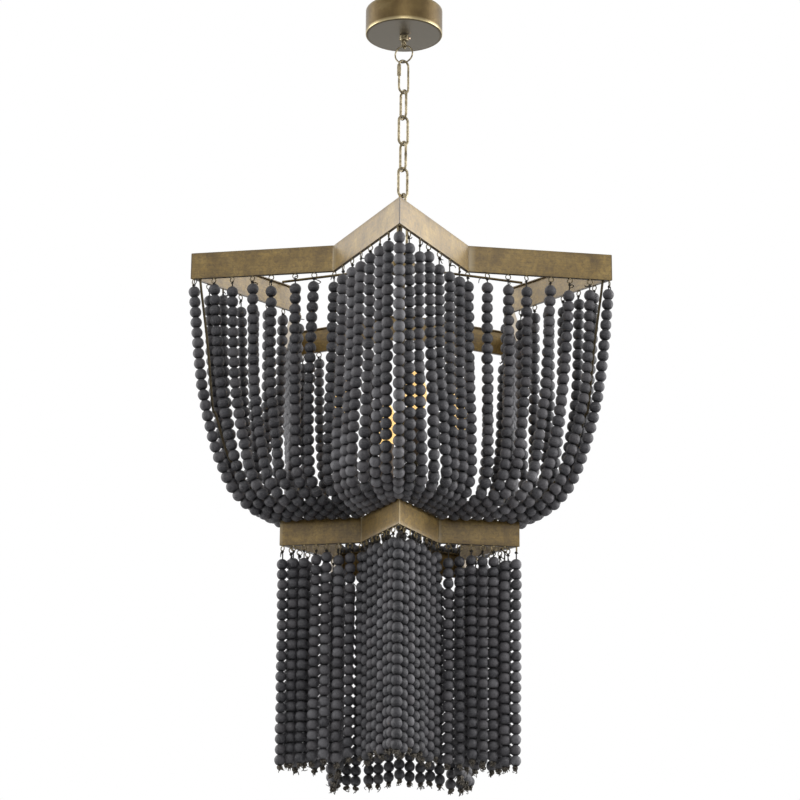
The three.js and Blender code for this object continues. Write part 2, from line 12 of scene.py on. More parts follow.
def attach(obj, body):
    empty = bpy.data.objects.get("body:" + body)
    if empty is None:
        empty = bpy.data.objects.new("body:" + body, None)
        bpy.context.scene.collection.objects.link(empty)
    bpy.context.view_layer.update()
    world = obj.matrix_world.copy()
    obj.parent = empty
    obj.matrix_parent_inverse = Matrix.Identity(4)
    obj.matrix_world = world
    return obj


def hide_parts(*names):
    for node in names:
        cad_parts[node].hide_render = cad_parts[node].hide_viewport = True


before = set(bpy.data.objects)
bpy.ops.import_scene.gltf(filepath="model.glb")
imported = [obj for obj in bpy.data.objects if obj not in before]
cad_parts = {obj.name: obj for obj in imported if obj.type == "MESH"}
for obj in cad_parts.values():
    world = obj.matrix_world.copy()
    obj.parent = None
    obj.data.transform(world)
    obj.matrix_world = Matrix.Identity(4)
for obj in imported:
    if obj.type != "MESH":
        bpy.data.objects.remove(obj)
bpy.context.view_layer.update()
chance = random.Random(20)
shades = random.Random(23)

MM = 0.001
UP = Vector((0, 0, 1))

# Canopy, loop and chain, in millimetres and degrees like the whole object
CANOPY_RADIUS, CANOPY_DEPTH, CANOPY_WALL = 63.5, 44.0, 1.5
CANOPY_FOLD, CANOPY_HOLE, CANOPY_SIDES = 1.6, 5.4, 96
COLLAR_TOP, COLLAR_HEIGHT, COLLAR_RADIUS = -44.3, 10.0, 7.5
EYE_RADIUS, EYE_WIRE, EYE_ANGLE = 6.0, 4.0, 70.0
SCREW_HEIGHT, SHANK_RADIUS, SHANK_TIP, KNOB_RADIUS = -48.8, 1.75, 5.05, 2.5
RING_CENTRE, RING_RADIUS, RING_WIRE, RING_ANGLE = -77.9, 15.2, 2.6, -20.0
QUICK_TOP, QUICK_HEIGHT, QUICK_HALF, QUICK_WIRE, QUICK_ANGLE = -89.7, 58.4, 9.2, 3.6, 35.0
QUICK_NUT_LENGTH, QUICK_NUT_DIAMETER, QUICK_GAP_DROP, QUICK_GAP = 20.0, 7.4, 4.0, 6.0
QUICK_LEFT_HEIGHTS, QUICK_RIGHT_HEIGHTS = (-118, -126, -134), (-130, -118, -106)
LINKS, LINK_TOP, LINK_STEP = 6, -143.85, 45.8
LINK_HEIGHT, LINK_HALF, LINK_WIRE = 50.4, 8.45, 4.3
# Points down a link's leg, as shares of it, and how much thicker the weld is there
LEG_SHARES = (0.2, 0.4, 0.45, 0.47, 0.5, 0.53, 0.55, 0.6, 0.8)
WELD = {0.47: 0.18, 0.5: 0.3, 0.53: 0.18}
ODD_ANGLE, EVEN_ANGLE = -58.0, 32.0
HUB_EYE_TOP, HUB_EYE_RADIUS, HUB_EYE_WIRE = -418.55, 9.0, 4.5
HUB_TOP, FLANGE_TOP, HUB_FOOT = -436.55, -447.55, -461.55
NECK_RADIUS, FLANGE_RADIUS, SPOKE_RADIUS = 9.0, 22.0, 2.0
# Each spoke's end: a corner of the upper star, the corner beside it, and the share of the way there
SPOKE_ENDS = ((0, 1, 0.0), (3, 2, 0.17), (5, 6, 0.0), (7, 8, 0.17))

# Star bands and ribs
POINTS, SPACES = 5, 7
STRINGS = 2 * POINTS * SPACES
CORNER_STEP = 36.0
SHEET, LIP = 1.6, 5.0
UPPER = {"tip": 347.0, "notch": 178.6, "top": -471.5, "foot": -514.5}
LOWER = {"tip": 193.6, "notch": 100.6, "top": -891.5, "foot": -931.5}
GAP = 0.3
FOLD_RADIUS, CORNER_DENT = 0.9, 0.35
# Shares of a side: a crease's rim, the line of painted highlight beside it, the first even cut, and
# how far from a tip of the upper star the crease is dark
CREASE_RIM, HIGHLIGHT_LINE, FIRST_CUT, DARK_REACH = 0.004, 0.012, 0.05, 0.005
# How pale the painted highlight is along a notch's crease and along the line beside a corner
NOTCH_HIGHLIGHT_PALE, HIGHLIGHT_LINE_PALE = 0.9, 0.55
RIB_RADIUS, RIB_DROP = 2.0, 2.0
RIB_IN = [0, 0, 0.1, 0.18, 0.22, 0.35, 0.46, 0.62, 0.8, 0.93, 1, 1]
RIB_DOWN = [0, 0.09, 0.335, 0.586, 0.62, 0.763, 0.818, 0.889, 0.945, 0.967, 0.985, 1]

# Strings
UPPER_BEAD, LOWER_BEAD, LOWER_PITCH, LOWER_BEADS = 18.0, 16.7, 15.8, 20
UPPER_NECK, END_NECK, LOWER_NECK = 15.8, 3.5, 18.0
STRING_INSET, LOWEST = 2.6, -1285.2
CORD_RADIUS = 1.0
EYELET_RADIUS, EYELET_WIRE, EYELET_DROP, EYELET_TURN = 4.0, 1.6, 4.2, 16
# For a bead of radius 1 and half length 1: its bore, the bore's mouth and floor, and the angle from
# its axis at which it turns round
BEAD_BORE, BORE_MOUTH, BORE_FLOOR, BEAD_CUT = 0.17, 0.97, 0.86, 23
# How far upper beads nest, how full a bead fills its pitch, and how far it may stray and lean
BEAD_NEST, BEAD_FILL, BEAD_DRIFT, BEAD_LEAN = 1.3, 1.01, 0.25, 3.5
KNOT_SIZE, END_KNOT_SIZE, HEAD_TAILS, END_TAIL = 4.8, 8.6, (0, 1, 1, 2), 10.5
# The strings that swing together, counted from a tip of the lower star
GROUPS = (("after", 0, SPACES - 1), ("before", 2 - SPACES, 0), ("notch", SPACES - 1, SPACES + 2))
# The length over which a lower string's sway grows
SWAY_LENGTH = 340
# How far along its course an upper string is at each height: at a tip, midway (along and square
# to the side of the star) and at a notch
COURSE_DOWN = [0, 0.2, 0.45, 0.64, 0.77, 0.86, 0.9, 0.935, 0.96, 0.98, 0.99, 1]
TIP_COURSE = [0, 0.045, 0.12, 0.225, 0.33, 0.43, 0.5, 0.585, 0.68, 0.78, 0.89, 1]
MIDDLE_ALONG = [0, 0.01, 0.04, 0.13, 0.2, 0.28, 0.36, 0.46, 0.58, 0.71, 0.86, 1]
MIDDLE_SQUARE = [0, -0.01, -0.02, -0.03, -0.03, -0.02, 0.02, 0.09, 0.24, 0.48, 0.75, 1]
NOTCH_COURSE = [0, -0.02, -0.05, -0.09, -0.11, -0.11, -0.06, 0.03, 0.2, 0.44, 0.72, 1]
COURSE_MIDDLE = 0.43

# Lamps
CUP_RIM, CUP_HEIGHT, CUP_RADIUS, CUP_WALL = -810.5, 34.0, 22.0, 2.0
STEM_RADIUS, STEM_BORE = 5.0, 3.2
LAMPS, FIRST_LAMP, LAMP_RADIUS = 4, 15.0, 92.0
ARM_RADIUS, ARM_DROP, ARM_SAG = 3.5, 12.0, 16.0
SLEEVE_FOOT, SLEEVE_TOP, SLEEVE_RADIUS, SLEEVE_WALL = -800.5, -724.5, 12.0, 1.6
# Radii of the finial, and how far below its top each is
FINIAL = ((0, 0), (9.5, 0), (10, 0.6), (10, 4.6), (9, 6), (6, 9), (4.8, 11), (5, 13.5),
          (4.6, 16.5), (3.2, 19.5), (1.4, 21.6), (0, 22))
SOCKET_RADIUS, SOCKET_SEAT, SOCKET_DEPTH = 6.8, 3, 26
BULB_SEAT, BULB_FOOT_RADIUS, BULB_RADIUS = -727.2, 8.5, 17.0
BULB_CAP, BULB_CAP_LENGTH, THREADS, THREAD_STEP = 6.5, 22.0, 7, 2.4
# Shares of the bulb's radius, and heights above its seat
BULB_GLASS = [(0.56, 2), (0.8, 9), (0.96, 19), (1.0, 28), (0.985, 36), (0.9, 46), (0.72, 56),
              (0.5, 65), (0.3, 71), (0.16, 75), (0.08, 77), (0, 78)]

# Studio, in metres and watts: each light's name, place, size and power
LIGHTS = (
    ("left", (-2.9, 0.5, -0.2), (2.0, 2.6), 62),
    ("right", (2.85, 0.35, -0.2), (2.0, 2.6), 94),
    ("front", (0.1, -3.3, 0.55), (1.6, 1.1), 26),
)
LIT_POINT = (0, 0, -0.7)
SKY_TINT, SKY_STRENGTH = (0.98, 0.99, 1.0), 0.09
FLOOR_HALF, FLOOR_HEIGHT = 6.0, -2.7


# Meshes

def place(degrees, radius, height):
    """A point by its angle round the axis, its distance from it and its height."""
    turn = math.radians(degrees)
    return Vector((math.cos(turn), math.sin(turn), 0)) * radius + UP * height


def angles(count):
    return [2 * math.pi * i / count for i in range(count)]


def hoop(centre, across, other, radius, steps):
    """Points once around the centre, in the plane of two directions."""
    return [centre + (across * math.cos(a) + other * math.sin(a)) * radius for a in angles(steps)]


def put(name, data):
    """A new object in the scene."""
    thing = bpy.data.objects.new(name, data)
    bpy.context.scene.collection.objects.link(thing)
    return thing


class Form:
    """Collects faces in millimetres, with a few numbers for each point, and makes one object."""

    def __init__(self):
        self.points, self.faces = [], []
        self.marks = {"tint": [], "edge": []}
        self.own = []

    def add(self, points, faces, tint=0.0, edges=None, own=None):
        start = len(self.points)
        self.points += points
        self.faces += [tuple(start + i for i in face) for face in faces]
        self.marks["tint"] += [tint] * len(points)
        self.marks["edge"] += edges or [0.0] * len(points)
        self.own += own or [tuple(p) for p in points]

    def skin(self, rows, closed=False, tint=0.0, edges=None):
        """A skin over rows of points that each run once around the form."""
        around, count = len(rows[0]), len(rows)
        faces = []
        for i in range(count if closed else count - 1):
            here, there = i * around, ((i + 1) % count) * around
            for j in range(around):
                k = (j + 1) % around
                faces.append((here + j, here + k, there + k, there + j))
        if not closed:
            faces.append(tuple(range(around))[::-1])
            faces.append(tuple((count - 1) * around + j for j in range(around)))
        marks = sum(edges, []) if edges else None
        self.add([p for row in rows for p in row], faces, tint, marks)

    def rod(self, path, radii, sides=12, closed=False, tint=0.0, edge=0.0):
        """A round bar along a path. Its cross sections don't twist on the way."""
        count = len(path)
        if not isinstance(radii, list):
            radii = [radii] * count
        across, rows = None, []
        for i, point in enumerate(path):
            before = path[(i - 1) % count if closed else max(i - 1, 0)]
            after = path[(i + 1) % count if closed else min(i + 1, count - 1)]
            along = (after - before).normalized()
            if across is None:
                across = along.orthogonal().normalized()
            across = (across - along * across.dot(along)).normalized()
            rows.append(hoop(point, across, along.cross(across), radii[i], sides))
        if closed:
            rows = self.untwist(rows)
        self.skin(rows, closed, tint=tint, edges=[[edge] * sides] * count)

    @staticmethod
    def untwist(rows):
        """Spreads a closed bar's twist over all its rows, so that its last seam doesn't shear."""
        sides, last = len(rows[0]), rows[-1]
        gaps = [sum((rows[0][(j + s) % sides] - last[j]).length for j in range(sides))
                for s in range(sides)]
        shift = gaps.index(min(gaps))
        if shift == 0:
            return rows
        if shift > sides // 2:
            shift -= sides
        count = len(rows)
        twisted = []
        for i, row in enumerate(rows):
            share = shift * i / count
            low, part = math.floor(share), share - math.floor(share)
            twisted.append([row[(j - low) % sides].lerp(row[(j - low - 1) % sides], part)
                            for j in range(sides)])
        return twisted

    def turned(self, profile, sides, centre=Vector(), edges=None, axis=UP):
        """A turned form from pairs of radius and height. A radius of 0 closes it at a point."""
        points, faces, marks, starts = [], [], [], []
        for i, (r, z) in enumerate(profile):
            starts.append(len(points))
            around = angles(1 if r == 0 else sides)
            points += [Vector((r * math.cos(a), r * math.sin(a), z)) for a in around]
            marks += [edges[i] if edges else 0.0] * len(around)
        for i in range(len(profile) - 1):
            here, there = starts[i], starts[i + 1]
            for j in range(sides):
                k = (j + 1) % sides
                if profile[i][0] == 0:
                    faces.append((here, there + k, there + j))
                elif profile[i + 1][0] == 0:
                    faces.append((here + j, here + k, there))
                else:
                    faces.append((here + j, here + k, there + k, there + j))
        spin = UP.rotation_difference(axis).to_matrix()
        self.add([spin @ p + centre for p in points], faces, edges=marks)

    def object(self, name, body, slot, material, stands_for=(), sharp=35.0):
        mesh = bpy.data.meshes.new(name)
        mesh.from_pydata([tuple(p * MM) for p in self.points], [], self.faces)
        for mark, values in self.marks.items():
            mesh.attributes.new(mark, "FLOAT", "POINT").data.foreach_set("value", values)
        own = mesh.attributes.new("own", "FLOAT_VECTOR", "POINT")
        own.data.foreach_set("vector", [c for p in self.own for c in p])
        mesh.validate()
        thing = put(name, mesh)
        outward(mesh)
        mesh.polygons.foreach_set("use_smooth", [True] * len(mesh.polygons))
        mesh.set_sharp_from_angle(angle=math.radians(sharp))
        mesh.materials.append(material)
        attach(thing, body)
        if stands_for:
            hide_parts(*stands_for)
        return thing


def outward(mesh):
    """Turns the faces of closed forms to face out."""
    work = bmesh.new()
    work.from_mesh(mesh)
    bmesh.ops.recalc_face_normals(work, faces=work.faces)
    work.to_mesh(mesh)
    work.free()


def smooth_path(points, steps):
    """A curve through the points, with that many steps between two of them."""
    path = []
    count = len(points)
    for i in range(count - 1):
        a, b = points[max(i - 1, 0)], points[i]
        c, d = points[i + 1], points[min(i + 2, count - 1)]
        for s in range(steps):
            t = s / steps
            path.append(0.5 * (2 * b + (c - a) * t + (2 * a - 5 * b + 4 * c - d) * t * t
                               + (3 * b - a - 3 * c + d) * t ** 3))
    return path + [points[-1]]


def circle(centre, radius, angle, steps=32):
    """An upright circle about a point on the axis."""
    return [place(angle, radius * math.cos(t), centre + radius * math.sin(t))
            for t in angles(steps)]


def bow(half, centre, angle, sign, steps=14):
    """The round end of a link: the upper one where the sign is 1, the lower one where it is -1."""
    return [place(angle, sign * half * math.cos(t), centre + sign * half * math.sin(t))
            for t in (math.pi * i / steps for i in range(steps + 1))]


def side_distance(star):
    """How far the sides of a star run from its axis."""
    tip, notch = place(0, star["tip"], 0), place(CORNER_STEP, star["notch"], 0)
    return abs(tip.cross((notch - tip).normalized()).z)


def star_corner(star, i, inset, height):
    """Corner i of a star, moved inward by an even width. Even corners are tips."""
    radius = star["notch"] if i % 2 else star["tip"]
    return place(270 + i * CORNER_STEP, radius * (1 - inset / side_distance(star)), height)


def side_direction(star, n):
    """Along the band at string n. At a corner it runs square to the radius."""
    side, step = divmod(n % STRINGS, SPACES)
    if step == 0:
        return UP.cross(star_corner(star, side, 0, 0).normalized())
    return (star_corner(star, side + 1, 0, 0) - star_corner(star, side, 0, 0)).normalized()


def string_place(star, n, height, inset=STRING_INSET):
    """Where string n hangs. Each one is a little off its even place along the band."""
    side, step = divmod(n % STRINGS, SPACES)
    start = star_corner(star, side, inset, height)
    even = start.lerp(star_corner(star, side + 1, inset, height), step / SPACES)
    return even + side_direction(star, n) * star["slips"][n % STRINGS]


def held(value, most):
    return max(-most, min(most, value))


# How far each string slips along its band. Those at the corners stay
for band, usual, most in ((UPPER, 2.0, 3.6), (LOWER, 0.8, 1.4)):
    band["slips"] = [held(chance.gauss(0, usual), most) for _ in range(STRINGS)]
    for corner in range(2 * POINTS):
        band["slips"][corner * SPACES] = 0.0


# Materials

class Paint:
    """A material whose colour, roughness and relief come from nodes."""

    def __init__(self, name, **constants):
        self.material = bpy.data.materials.new(name)
        self.material.use_nodes = True
        self.tree = self.material.node_tree
        self.shader = self.tree.nodes["Principled BSDF"]
        for socket, value in constants.items():
            self.shader.inputs[socket.replace("_", " ")].default_value = value

    def node(self, kind, settings=(), **inputs):
        made = self.tree.nodes.new(kind)
        for key, value in dict(settings).items():
            setattr(made, key, value)
        for key, value in inputs.items():
            self.feed(made.inputs[key.replace("_", " ")], value)
        return made

    def feed(self, socket, value):
        if isinstance(value, bpy.types.NodeSocket):
            self.tree.links.new(value, socket)
        else:
            socket.default_value = value

    def mark(self, name):
        return self.node("ShaderNodeAttribute", {"attribute_name": name}).outputs["Fac"]

    def own(self):
        """Each bead's own place in the grain, so that no two are alike."""
        return self.node("ShaderNodeAttribute", {"attribute_name": "own"}).outputs["Vector"]

    def where(self):
        return self.node("ShaderNodeTexCoord").outputs["Object"]

    def stretched(self, vector, scale, turn=(0, 0, 0)):
        made = self.node("ShaderNodeMapping", Vector=vector)
        made.inputs["Scale"].default_value = scale
        made.inputs["Rotation"].default_value = turn
        return made.outputs[0]

    def noise(self, vector, scale, detail=3.0, roughness=0.55, distortion=0.0):
        return self.node("ShaderNodeTexNoise", Vector=vector, Scale=scale, Detail=detail,
                         Roughness=roughness, Distortion=distortion).outputs["Fac"]

    def ramp(self, fac, *stops):
        made = self.node("ShaderNodeValToRGB", Fac=fac)
        while len(made.color_ramp.elements) < len(stops):
            made.color_ramp.elements.new(0.5)
        for element, (position, color) in zip(made.color_ramp.elements, stops):
            element.position = position
            element.color = (*color, 1) if isinstance(color, tuple) else (color,) * 3 + (1,)
        return made.outputs[0]

    def mix(self, fac, a, b, blend="MIX"):
        made = self.node("ShaderNodeMix", {"data_type": "RGBA", "blend_type": blend})
        for key, value in ((0, fac), (6, a), (7, b)):
            if isinstance(value, tuple) and len(value) == 3:
                value = (*value, 1)
            self.feed(made.inputs[key], value)
        return made.outputs[2]

    def spread(self, fac, low, high, start=0.0, end=1.0):
        return self.node("ShaderNodeMapRange", Value=fac, From_Min=start, From_Max=end,
                         To_Min=low, To_Max=high).outputs[0]

    def sum(self, a, b, operation="ADD"):
        made = self.node("ShaderNodeMath", {"operation": operation})
        self.feed(made.inputs[0], a)
        self.feed(made.inputs[1], b)
        return made.outputs[0]

    def finish(self, color, roughness, height, strength, distance):
        self.feed(self.shader.inputs["Base Color"], color)
        self.feed(self.shader.inputs["Roughness"], roughness)
        bump = self.node("ShaderNodeBump", Height=height, Strength=strength, Distance=distance)
        self.tree.links.new(bump.outputs[0], self.shader.inputs["Normal"])
        return self.material


def leafed_brass():
    """Antique leaf on the bands: gold brown with soft upright stains, dark along its edges."""
    p = Paint("leafed_brass", Metallic=0.6, Coat_Weight=0.8, Coat_Roughness=0.3)
    where = p.where()
    patches = p.noise(where, 24, 4, 0.6, 0.7)
    stains = p.noise(p.stretched(where, (60, 60, 16)), 1.0, 3, 0.6, 0.5)
    flecks = p.noise(where, 210, 4, 0.7, 0.6)
    tone = p.ramp(patches, (0.3, (0.132, 0.082, 0.018)), (0.5, (0.192, 0.124, 0.029)),
                  (0.72, (0.265, 0.181, 0.053)))
    streak = p.ramp(stains, (0.3, (0.78, 0.76, 0.72)), (0.5, 1.0), (0.7, (1.22, 1.22, 1.18)))
    tone = p.mix(0.55, tone, streak, "MULTIPLY")
    fleck = p.ramp(flecks, (0.34, (0.55, 0.49, 0.42)), (0.5, 1.0), (0.68, (1.45, 1.42, 1.32)))
    tone = p.mix(0.85, tone, fleck, "MULTIPLY")
    scratch = p.noise(p.stretched(where, (30, 30, 420), (0.5, 0.35, 0.0)), 1.0, 3, 0.7, 0.2)
    scratch = p.ramp(scratch, (0.36, (0.7, 0.68, 0.64)), (0.47, 1.0), (0.6, 1.0),
                     (0.72, (1.35, 1.33, 1.28)))
    tone = p.mix(0.7, tone, scratch, "MULTIPLY")
    # Painted highlight: the pale tint along notch creases and along the lines beside the corners
    tone = p.mix(p.spread(p.mark("tint"), 0.0, 0.8), tone, (0.46, 0.39, 0.26))
    tone = p.mix(p.spread(p.mark("edge"), 0.0, 0.88), tone, (0.03, 0.019, 0.01))
    rough = p.sum(p.spread(flecks, 0.5, 0.64, 0.3, 0.7), p.spread(stains, 0.05, -0.06))
    return p.finish(tone, rough, p.sum(flecks, stains), 0.22, 0.0005)


def aged_metal(name, metallic, scales, tones, dirt, worn, rough, polish):
    """Cloudy metal with fine dirt in its grain, paler and smoother along its edges."""
    p = Paint(name, Metallic=metallic)
    where = p.where()
    clouds = p.noise(where, scales[0], 3, 0.6, 0.4)
    grain = p.noise(where, scales[1], 3, 0.6)
    tone = p.ramp(clouds, *zip((0.3, 0.55, 0.75), tones))
    tone = p.mix(p.spread(grain, 0.0, 0.35, 0.45, 0.75), tone, dirt)
    tone = p.mix(p.mark("edge"), tone, worn)
    shine = p.sum(p.spread(grain, *rough), p.spread(p.mark("edge"), 0.0, -polish))
    return p.finish(tone, shine, grain, 0.2, 0.0003)


def frame_brass():
    """Antique brass of hub, spokes, finial and the lowest wire rings."""
    return aged_metal("frame_brass", 0.85, (34, 600),
                      ((0.07, 0.048, 0.02), (0.12, 0.085, 0.036), (0.19, 0.145, 0.07)),
                      (0.05, 0.034, 0.015), (0.72, 0.6, 0.34), (0.32, 0.46), 0.12)


def dark_bronze():
    """Dark olive bronze of ribs, stem, lamp cup, arms and the upper wire rings."""
    return aged_metal("dark_bronze", 0.7, (40, 700),
                      ((0.035, 0.026, 0.012), (0.06, 0.045, 0.021), (0.1, 0.078, 0.038)),
                      (0.03, 0.022, 0.011), (0.5, 0.4, 0.22), (0.4, 0.55), 0.1)


def canopy_brass():
    """Antique brass of the canopy: brushed round, paler and greyer below, bright along the lower
    edge.
    """
    p = Paint("canopy_brass", Metallic=0.85, Coat_Weight=0.15, Coat_Roughness=0.25)
    where = p.where()
    clouds = p.noise(where, 26, 3, 0.6, 0.5)
    grain = p.noise(p.stretched(where, (1, 1, 7)), 260, 3, 0.6)
    tone = p.ramp(clouds, (0.3, (0.084, 0.053, 0.018)), (0.52, (0.128, 0.086, 0.031)),
                  (0.74, (0.19, 0.14, 0.062)))
    tone = p.mix(p.spread(grain, 0.0, 0.3, 0.5, 0.8), tone, (0.05, 0.034, 0.014))
    tone = p.mix(p.mark("tint"), tone, (0.27, 0.24, 0.19))
    tone = p.mix(p.mark("edge"), tone, (0.6, 0.5, 0.28))
    rough = p.sum(p.spread(grain, 0.3, 0.44), p.spread(p.mark("edge"), 0.0, -0.06))
    return p.finish(tone, rough, grain, 0.18, 0.0003)


def worn_chain():
    """Pale worn brass over dark, on the chain, the links, the ring and the collar."""
    p = Paint("worn_chain", Metallic=0.85)
    where = p.where()
    rub = p.noise(where, 150, 4, 0.7, 0.5)
    fine = p.noise(where, 900, 2, 0.6)
    tone = p.ramp(rub, (0.36, (0.1, 0.078, 0.042)), (0.5, (0.27, 0.225, 0.14)),
                  (0.66, (0.46, 0.4, 0.27)))
    tone = p.mix(p.spread(fine, 0.0, 0.3, 0.5, 0.75), tone, (0.07, 0.052, 0.028))
    return p.finish(tone, p.spread(rub, 0.55, 0.36), p.sum(rub, fine), 0.3, 0.0003)


def bright_screw():
    """Bright copper-coloured metal of the set screw, with fine turning marks."""
    p = Paint("bright_screw", Metallic=1.0)
    turned = p.noise(p.stretched(p.where(), (900, 60, 60)), 1.0, 2, 0.5)
    tone = p.ramp(turned, (0.3, (0.78, 0.52, 0.34)), (0.7, (1.0, 0.82, 0.62)))
    return p.finish(tone, p.spread(turned, 0.2, 0.34), turned, 0.15, 0.0002)


def plated_steel():
    """Plated steel of the bulbs' caps and of the parts hidden in the canopy."""
    p = Paint("plated_steel", Metallic=1.0)
    spangle = p.noise(p.where(), 120, 3, 0.6, 0.5)
    tone = p.ramp(spangle, (0.3, (0.42, 0.43, 0.44)), (0.7, (0.62, 0.61, 0.58)))
    return p.finish(tone, p.spread(spangle, 0.3, 0.48), spangle, 0.15, 0.0003)


def stained_wood():
    """Charcoal beads: matte stain with fine grain, each bead of its own shade."""
    p = Paint("stained_wood", Specular_IOR_Level=0.5)
    own = p.own()
    grain = p.noise(p.stretched(own, (0.14, 0.14, 0.5)), 1.0, 5, 0.7, 0.6)
    pores = p.noise(own, 0.75, 4, 0.75)
    shade = p.ramp(p.mark("tint"), (0.0, (0.03, 0.029, 0.034)), (0.45, (0.064, 0.063, 0.071)),
                   (0.78, (0.104, 0.098, 0.106)), (1.0, (0.19, 0.187, 0.2)))
    shade = p.mix(p.spread(grain, 0.0, 0.8, 0.48, 0.7), shade, (0.17, 0.164, 0.172))
    shade = p.mix(p.spread(pores, 0.85, 0.0, 0.3, 0.46), shade, (0.012, 0.011, 0.011))
    # Painted shade at the ends and in the bore of each bead, where beads touch
    shade = p.mix(p.mark("edge"), shade, (0.008, 0.008, 0.008))
    rough = p.spread(grain, 0.44, 0.62)
    return p.finish(shade, rough, p.sum(grain, pores), 0.65, 0.0008)


def waxed_cord():
    """Black waxed cord, and the worn grey ends below the lowest beads."""
    p = Paint("waxed_cord", Specular_IOR_Level=0.3)
    where = p.where()
    twist = p.noise(p.stretched(where, (900, 900, 2200), (0.6, 0.3, 0)), 1.0, 2, 0.6)
    fray = p.noise(where, 420, 3, 0.7)
    tone = p.ramp(twist, (0.3, (0.012, 0.01, 0.008)), (0.55, (0.028, 0.023, 0.018)),
                  (0.75, (0.07, 0.06, 0.042)))
    worn = p.ramp(fray, (0.38, (0.02, 0.016, 0.013)), (0.5, (0.09, 0.076, 0.06)),
                  (0.64, (0.3, 0.27, 0.22)))
    tone = p.mix(p.mark("tint"), tone, worn)
    return p.finish(tone, p.spread(twist, 0.6, 0.85), p.sum(twist, fray), 0.6, 0.0006)


def candle_brown():
    """Mottled brown candle sleeves, with painted shade inside their sockets."""
    p = Paint("candle_brown", Specular_IOR_Level=0.4)
    mottle = p.noise(p.where(), 60, 4, 0.6, 0.4)
    tone = p.ramp(mottle, (0.3, (0.11, 0.066, 0.034)), (0.7, (0.19, 0.125, 0.07)))
    # Painted shade inside the sleeve's mouth and socket
    tone = p.mix(p.mark("edge"), tone, (0.03, 0.022, 0.016))
    return p.finish(tone, p.spread(mottle, 0.42, 0.56), mottle, 0.2, 0.0005)


def frosted_glass():
    """Warm frosted glass of the bulbs, which glows a little."""
    p = Paint("frosted_glass", Transmission_Weight=0.5, IOR=1.3, Subsurface_Weight=0.25,
              Subsurface_Radius=(0.02, 0.015, 0.008), Emission_Color=(1.0, 0.68, 0.25, 1),
              Emission_Strength=0.5)
    frost = p.noise(p.where(), 300, 3, 0.6)
    tone = p.ramp(frost, (0.3, (0.86, 0.7, 0.42)), (0.7, (0.96, 0.86, 0.62)))
    return p.finish(tone, p.spread(frost, 0.28, 0.4), frost, 0.1, 0.0002)


LEAF, BRASS, CANOPY = leafed_brass(), frame_brass(), canopy_brass()
DARK, CHAIN, SCREW, STEEL = dark_bronze(), worn_chain(), bright_screw(), plated_steel()
WOOD, CORD = stained_wood(), waxed_cord()
CANDLE, GLASS = candle_brown(), frosted_glass()

# Solids that no piece of the scene stands for
for hidden in ("canopy_crossbar", "canopy_nipple", "canopy_locknut"):
    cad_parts[hidden].material_slots[0].material = STEEL


# Canopy, loop and chain

def quarter(steps):
    return [math.pi / 2 * i / steps for i in range(steps + 1)]


def rounded(radius, height, by):
    """Points of a rounded lower edge, from the wall down and then in."""
    return [(radius - by + by * math.cos(t), height + by - by * math.sin(t)) for t in quarter(4)]


def canopy():
    """A turned cover. Its wall is worn along both edges, and its underside is paler and greyer."""
    inner, floor = CANOPY_RADIUS - CANOPY_WALL, CANOPY_WALL - CANOPY_DEPTH
    wall = [(inner, 0), (CANOPY_RADIUS - 0.4, 0)]
    wall += [(CANOPY_RADIUS, -0.6 - 4.1 * i) for i in range(10)]
    wall += rounded(CANOPY_RADIUS, -CANOPY_DEPTH, CANOPY_FOLD)
    worn = [0, 0.4, 0.3] + [0] * 9 + [0.5, 0.9, 0.9, 0.35, 0]
    under = [(radius, -CANOPY_DEPTH) for radius in (58, 45, 30, 18, 9, CANOPY_HOLE)]
    under += [(CANOPY_HOLE, floor), (inner, floor), wall[0]]
    form = Form()
    form.turned(wall + under, CANOPY_SIDES, edges=worn + [0] * len(under))
    paler_greyer_below = [0] * len(wall) + [1] * len(under)
    form.marks["tint"] = [tint for tint in paler_greyer_below for _ in range(CANOPY_SIDES)]
    form.object("canopy", "ceiling_mount", "frame_brass", CANOPY, ["canopy_cover"])


def canopy_loop():
    form = Form()
    foot = COLLAR_TOP - COLLAR_HEIGHT
    form.turned([(0, COLLAR_TOP), (COLLAR_RADIUS - 0.6, COLLAR_TOP),
                 (COLLAR_RADIUS, COLLAR_TOP - 0.6), (COLLAR_RADIUS, foot + 1.5),
                 (COLLAR_RADIUS - 0.5, foot + 0.5), (COLLAR_RADIUS - 1.5, foot), (0, foot)],
                40)
    form.rod(circle(foot - EYE_RADIUS, EYE_RADIUS, EYE_ANGLE), EYE_WIRE / 2, 14, True)
    form.object("loop_collar", "ceiling_mount", "chain_brass", CHAIN, ["canopy_loop"])


def set_screw():
    form = Form()
    start = COLLAR_RADIUS + GAP
    profile = [(0, SHANK_TIP), (SHANK_RADIUS, SHANK_TIP), (SHANK_RADIUS, start),
               (KNOB_RADIUS - 0.3, start), (KNOB_RADIUS, start + 0.3),
               (KNOB_RADIUS, start + 2.0), (KNOB_RADIUS - 0.5, start + 2.5),
               (0.7, start + 2.6), (0.6, start + 2.1), (0, start + 2.1)]
    form.turned(profile, 24, UP * SCREW_HEIGHT, axis=Vector((1, 0, 0)))
    form.object("set_screw_knob", "set_screw", "screw_metal", SCREW, ["loop_set_screw"])


